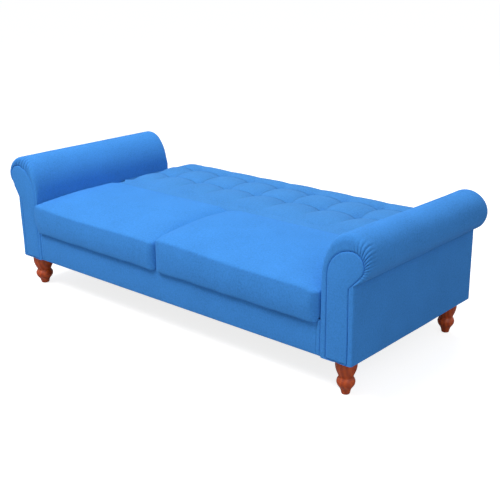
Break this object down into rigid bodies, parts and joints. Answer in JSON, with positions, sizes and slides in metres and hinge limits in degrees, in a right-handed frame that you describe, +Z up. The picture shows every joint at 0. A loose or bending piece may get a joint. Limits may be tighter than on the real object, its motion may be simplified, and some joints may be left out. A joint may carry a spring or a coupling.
{
  "type": "click-clack sofa bed",
  "caption": "Upholstered click-clack sofa bed with fixed scroll arms, box seat cushions, a tufted back that folds flat, and turned wooden legs.",
  "frame": {"origin": "on the floor under the middle of the whole piece in its flat position", "axes": "+X to the right along the sofa seen from its front, +Y to the rear, +Z up"},
  "size_m": [2.084, 1.024, 0.636],
  "materials": {
    "leg_wood": "reddish-brown satin varnish",
    "zinc_steel": "zinc plated",
    "hinge_steel": "black powder coat",
    "spring_steel": "oiled wire",
    "clip_plastic": "moulded",
    "timber": "planed pine",
    "plywood": "sawn plywood",
    "hardboard": "hardboard",
    "foam": "upholstery foam and wadding",
    "felt": "needled felt",
    "lining": "non-woven lining",
    "rubber_pad": "moulded",
    "tie_fabric": "twine and covered buttons",
    "blue_fabric": "plain woven upholstery cloth"
  },
  "bodies": {
    "base": {"arm_battens_left": "timber", "arm_battens_right": "timber", "arm_bolts": "zinc_steel", "arm_cover_left": "blue_fabric", "arm_cover_right": "blue_fabric", "arm_front_board_left": "plywood", "arm_front_board_right": "plywood", "arm_front_facing_left": "blue_fabric", "arm_front_facing_right": "blue_fabric", "arm_inner_pad_left": "foam", "arm_inner_pad_right": "foam", "arm_outer_pad_left": "foam", "arm_outer_pad_right": "foam", "arm_rear_board_left": "plywood", "arm_rear_board_right": "plywood", "arm_rear_facing_left": "blue_fabric", "arm_rear_facing_right": "blue_fabric", "arm_roll_left": "foam", "arm_roll_right": "foam", "arm_side_panels_left": "hardboard", "arm_side_panels_right": "hardboard", "arm_spacers": "timber", "base_cross_rails": "timber", "base_front_rail": "timber", "base_rear_rail": "timber", "corner_blocks": "timber", "dust_cover": "lining", "front_rail_cover": "blue_fabric", "hinge_pins": "zinc_steel", "hinge_seat_bolts": "zinc_steel", "hinge_seat_plate_left": "hinge_steel", "hinge_seat_plate_right": "hinge_steel", "leg_bolts": "zinc_steel", "leg_front_left": "leg_wood", "leg_front_right": "leg_wood", "leg_rear_left": "leg_wood", "leg_rear_right": "leg_wood", "leg_tee_nuts": "zinc_steel", "pawl_spring_left": "hinge_steel", "pawl_spring_right": "hinge_steel", "rear_rail_cover": "blue_fabric", "seat_cushion_left": "blue_fabric", "seat_cushion_right": "blue_fabric", "seat_felt": "felt", "seat_frame": "timber", "seat_spring_clips": "clip_plastic", "seat_springs": "spring_steel", "stop_pads": "rubber_pad"},
    "backrest": {"back_cushion": "blue_fabric", "back_frame": "timber", "back_felt": "felt", "back_rear_cloth": "lining", "back_springs": "spring_steel", "back_spring_clips": "clip_plastic", "tuft_ties": "tie_fabric", "hinge_back_bolts": "zinc_steel", "ratchet_plate_left": "hinge_steel", "ratchet_plate_right": "hinge_steel"},
    "pawl_left_lever": {"pawl_left": "hinge_steel"},
    "pawl_right_lever": {"pawl_right": "hinge_steel"}
  },
  "joints": [
    {"name": "backrest_fold", "type": "hinge", "parent": "base", "child": "backrest", "pos_m": [0, 0.021, 0.41], "axis": [1, 0, 0], "range_deg": [0, 72]},
    {"name": "pawl_left_lift", "type": "hinge", "parent": "base", "child": "pawl_left_lever", "pos_m": [-0.8159, -0.035, 0.352], "axis": [1, 0, 0], "range_deg": [0, 8]},
    {"name": "pawl_right_lift", "type": "hinge", "parent": "base", "child": "pawl_right_lever", "pos_m": [0.8159, -0.035, 0.352], "axis": [1, 0, 0], "range_deg": [0, 8]}
  ]
}
